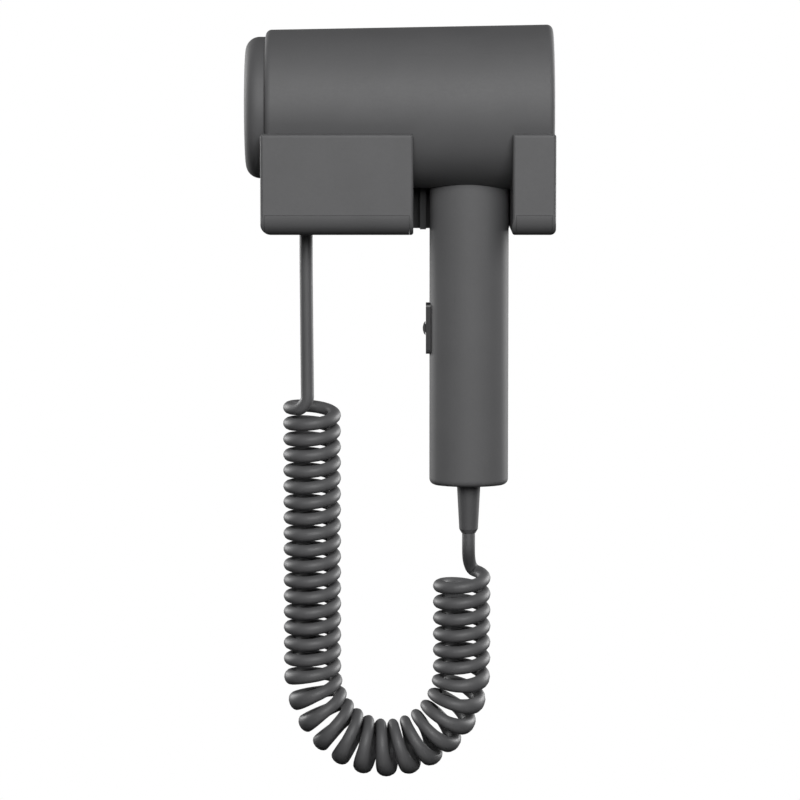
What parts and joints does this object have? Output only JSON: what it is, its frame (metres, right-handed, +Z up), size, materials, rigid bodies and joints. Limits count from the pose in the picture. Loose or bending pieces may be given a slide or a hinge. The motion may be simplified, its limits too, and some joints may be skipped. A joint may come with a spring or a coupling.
{
  "type": "hair dryer holder",
  "caption": "Wall-mounted holder whose notched cradle carries a hand-held hair dryer, joined to it by a hanging curly cord.",
  "frame": {"origin": "centre of the holder's back on the wall", "axes": "+Z up, +Y into the wall, +X along the barrel towards the air intake"},
  "size_m": [0.1524, 0.095, 0.3778],
  "materials": {
    "casing": "fine-textured matte dark grey moulding",
    "casing_ring": "fine-textured matte dark grey moulding",
    "handle_casing": "fine-textured matte dark grey moulding",
    "black_plastic": "plain black moulding",
    "switch_black": "satin black moulding",
    "cream_plastic": "plain cream moulding",
    "black_rubber": "soft black rubber",
    "relief_rubber": "soft dark grey rubber",
    "cord_jacket": "smooth dark grey cord jacket with a slight sheen",
    "zinc_steel": "zinc plated",
    "filter_mesh": "fine woven wire mesh",
    "heater_wire": "dull resistance wire",
    "mica": "pressed mica sheet",
    "board_green": "green lacquered circuit board"
  },
  "bodies": {
    "holder": {"wall_plate": "zinc_steel", "cradle_left": "casing", "cradle_right": "casing", "base_cover_left": "casing", "base_cover_right": "casing", "rear_bridge": "black_plastic", "lock_screws": "zinc_steel", "terminal_block": "cream_plastic", "cord_clamp": "black_plastic", "exit_grommet": "black_rubber", "cord_holder_lead": "cord_jacket", "cord_coil": "cord_jacket"},
    "dryer": {"barrel_shell": "casing", "outlet_ring": "casing_ring", "outlet_grille": "black_plastic", "rear_cover": "casing", "intake_filter": "filter_mesh", "heater_sleeve": "mica", "heater_frame": "mica", "heater_coil": "heater_wire", "motor_carrier": "black_plastic", "motor": "zinc_steel", "handle_shell": "handle_casing", "switch_plate": "switch_black", "switch_body": "black_plastic", "control_board": "board_green", "strain_relief": "relief_rubber", "cord_dryer_lead": "cord_jacket"},
    "fan": {"fan": "black_plastic", "motor_shaft": "zinc_steel"},
    "switch": {"switch_knob": "switch_black"}
  },
  "joints": [
    {"name": "dryer_lift", "type": "slide", "parent": "holder", "child": "dryer", "axis": [0, 0, 1], "range_m": [0, 0.06]},
    {"name": "switch_slide", "type": "slide", "parent": "dryer", "child": "switch", "axis": [0, 0, 1], "range_m": [-0.004, 0.004]},
    {"name": "fan_spin", "type": "hinge", "parent": "dryer", "child": "fan", "pos_m": [0.048, -0.05, 0.0363], "axis": [1, 0, 0], "continuous": true}
  ]
}
